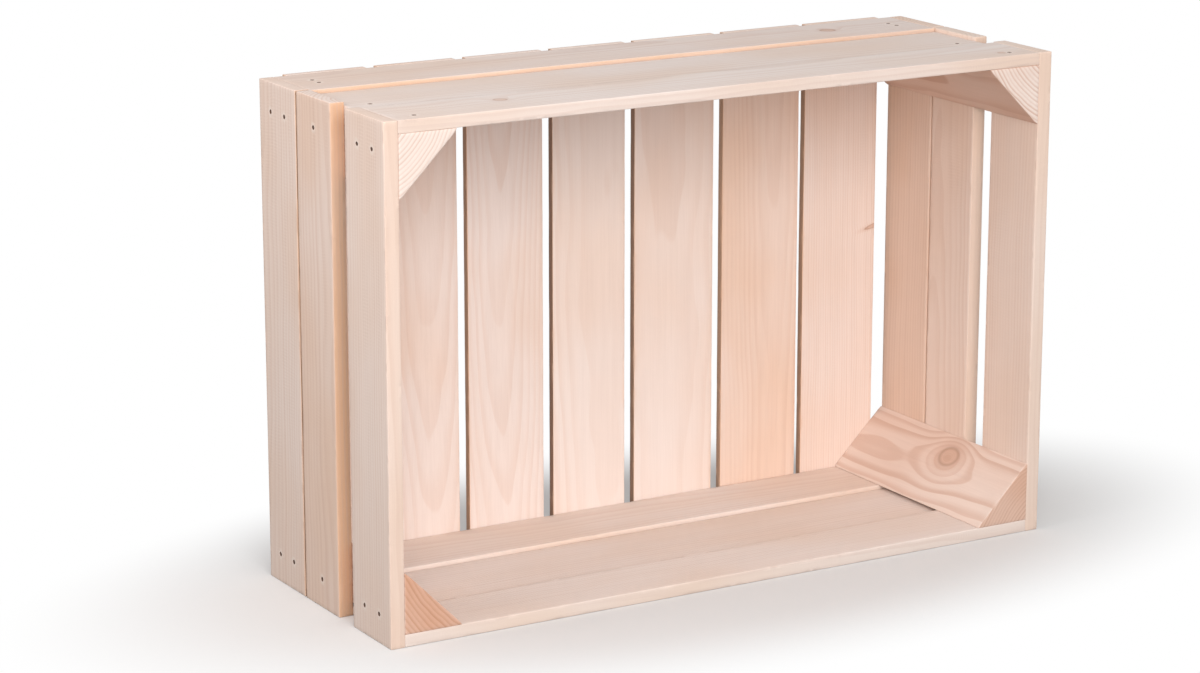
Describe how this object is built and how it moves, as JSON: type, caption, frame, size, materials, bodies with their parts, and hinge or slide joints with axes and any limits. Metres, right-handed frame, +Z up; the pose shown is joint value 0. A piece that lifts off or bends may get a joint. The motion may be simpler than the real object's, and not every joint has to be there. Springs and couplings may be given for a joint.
{
  "type": "wooden crate",
  "caption": "Open crate of nailed sawn pine boards, with triangular corner posts, a slatted base and a hand gap in each end, standing on a long side.",
  "frame": {"origin": "middle of the underside of the crate as it stands on its lower long side", "axes": "+X along the crate's length from the left end to the right, +Y from the open rim to the slatted base, +Z up across the crate's width"},
  "size_m": [0.6, 0.217, 0.4],
  "materials": {
    "side_board_pine": "raw sawn",
    "end_board_pine": "raw sawn",
    "base_slat_pine": "raw sawn",
    "post_pine": "raw sawn",
    "nail_steel": "dull"
  },
  "bodies": {
    "root": {"lower_side_front_board": "side_board_pine", "lower_side_middle_board": "side_board_pine", "lower_side_back_board": "side_board_pine", "upper_side_front_board": "side_board_pine", "upper_side_middle_board": "side_board_pine", "upper_side_back_board": "side_board_pine", "left_end_front_board": "end_board_pine", "left_end_middle_board": "end_board_pine", "left_end_back_board": "end_board_pine", "right_end_front_board": "end_board_pine", "right_end_middle_board": "end_board_pine", "right_end_back_board": "end_board_pine", "lower_left_post": "post_pine", "lower_right_post": "post_pine", "upper_left_post": "post_pine", "upper_right_post": "post_pine", "base_slat_1": "base_slat_pine", "base_slat_2": "base_slat_pine", "base_slat_3": "base_slat_pine", "base_slat_4": "base_slat_pine", "base_slat_5": "base_slat_pine", "base_slat_6": "base_slat_pine", "base_slat_7": "base_slat_pine", "lower_side_nails": "nail_steel", "upper_side_nails": "nail_steel", "left_end_nails": "nail_steel", "right_end_nails": "nail_steel", "base_nails": "nail_steel"}
  },
  "joints": []
}
